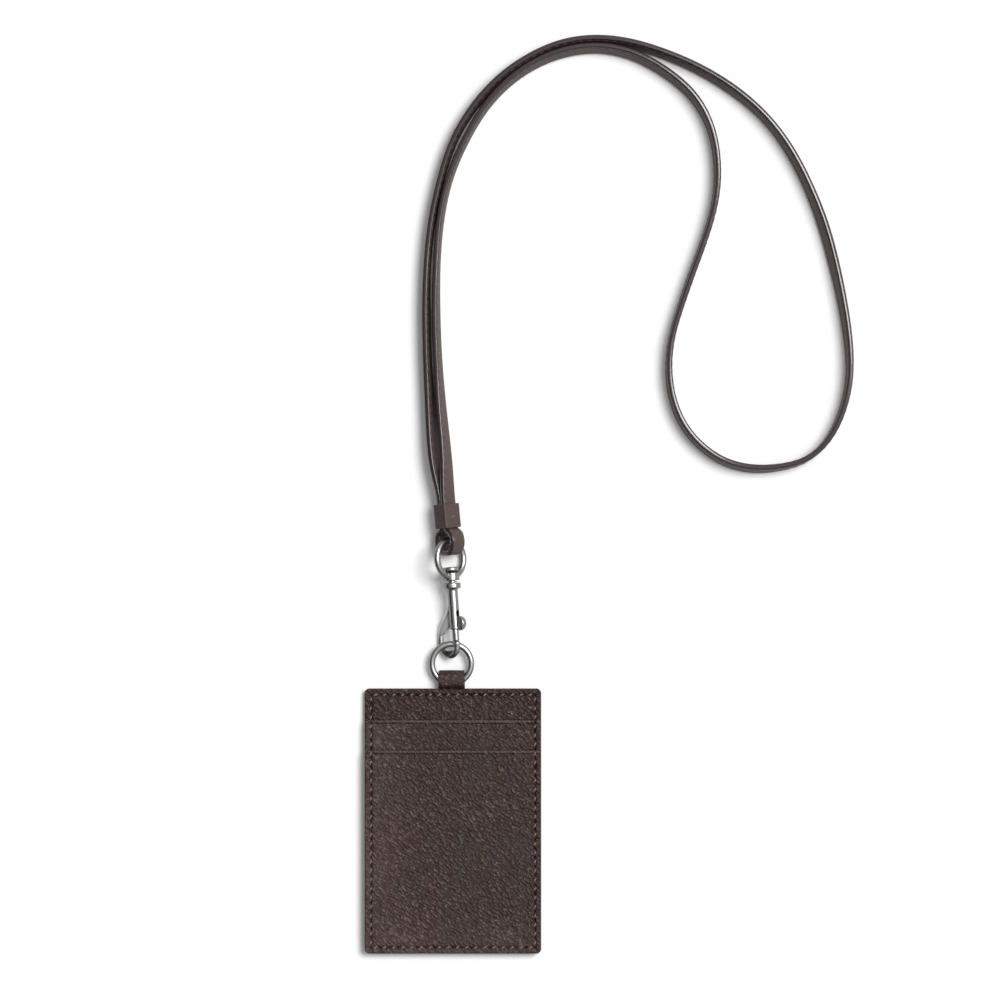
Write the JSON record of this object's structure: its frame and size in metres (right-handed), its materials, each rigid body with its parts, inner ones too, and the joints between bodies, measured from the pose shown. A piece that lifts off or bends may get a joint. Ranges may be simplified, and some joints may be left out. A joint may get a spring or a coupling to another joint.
{
  "type": "leather card holder on a neck strap",
  "caption": "Upright leather card holder with two card pockets, hung from a leather neck strap by a tab, a ring and a swivel snap hook.",
  "frame": {"origin": "middle of the holder's back face, which lies on the surface", "axes": "+Y runs from the holder up the lanyard, +Z points away from the surface, +X is to the right seen from the front"},
  "size_m": [0.1991, 0.3742, 0.0134],
  "materials": {
    "holder_leather": "pebbled dark brown",
    "strap_leather": "smooth taupe brown, dark painted edges",
    "thread": "waxed tan thread",
    "board": "plain",
    "plated_metal": "polished nickel plate",
    "spring_steel": "bright wire"
  },
  "bodies": {
    "card_holder": {"back_panel": "holder_leather", "stiffener_board": "board", "front_base_panel": "holder_leather", "rear_pocket_panel": "holder_leather", "front_pocket_panel": "holder_leather", "front_edge_stitching": "thread", "back_edge_stitching": "thread", "ring_tab": "holder_leather"},
    "ring": {"tab_ring": "plated_metal"},
    "snap_hook": {"hook_body": "plated_metal", "swivel_rivet": "plated_metal", "swivel_washer": "plated_metal", "bolt_spring": "spring_steel"},
    "bolt_group": {"bolt": "plated_metal", "thumb_stud": "plated_metal"},
    "eye": {"swivel_eye": "plated_metal"},
    "lanyard": {"strap_end_loop": "strap_leather", "keeper": "strap_leather", "keeper_bar_tack": "thread", "neck_strap": "strap_leather"}
  },
  "joints": [
    {"name": "ring_swing", "type": "hinge", "parent": "card_holder", "child": "ring", "pos_m": [-0.00053, 0.05612, 0.003], "axis": [1, 0, 0], "range_deg": [-60, 90], "deforming": ["ring_tab"]},
    {"name": "hook_swing", "type": "hinge", "parent": "ring", "child": "snap_hook", "pos_m": [-0.00165, 0.07208, 0.00408], "axis": [1, 0, 0], "range_deg": [-10, 60]},
    {"name": "bolt_slide", "type": "slide", "parent": "snap_hook", "child": "bolt_group", "axis": [-0.0706, 0.9975, 0], "range_m": [0, 0.0046], "stiffness_N_per_m": 250, "springref_m": -0.003, "deforming": ["bolt_spring"]},
    {"name": "eye_swivel", "type": "hinge", "parent": "snap_hook", "child": "eye", "pos_m": [0.00015, 0.09, 0.0068], "axis": [-0.0706, 0.9975, 0], "continuous": true},
    {"name": "lanyard_swing", "type": "hinge", "parent": "eye", "child": "lanyard", "pos_m": [-0.00158, 0.11437, 0.0068], "axis": [-0.7053, -0.0499, 0.7071], "range_deg": [-45, 45]}
  ]
}
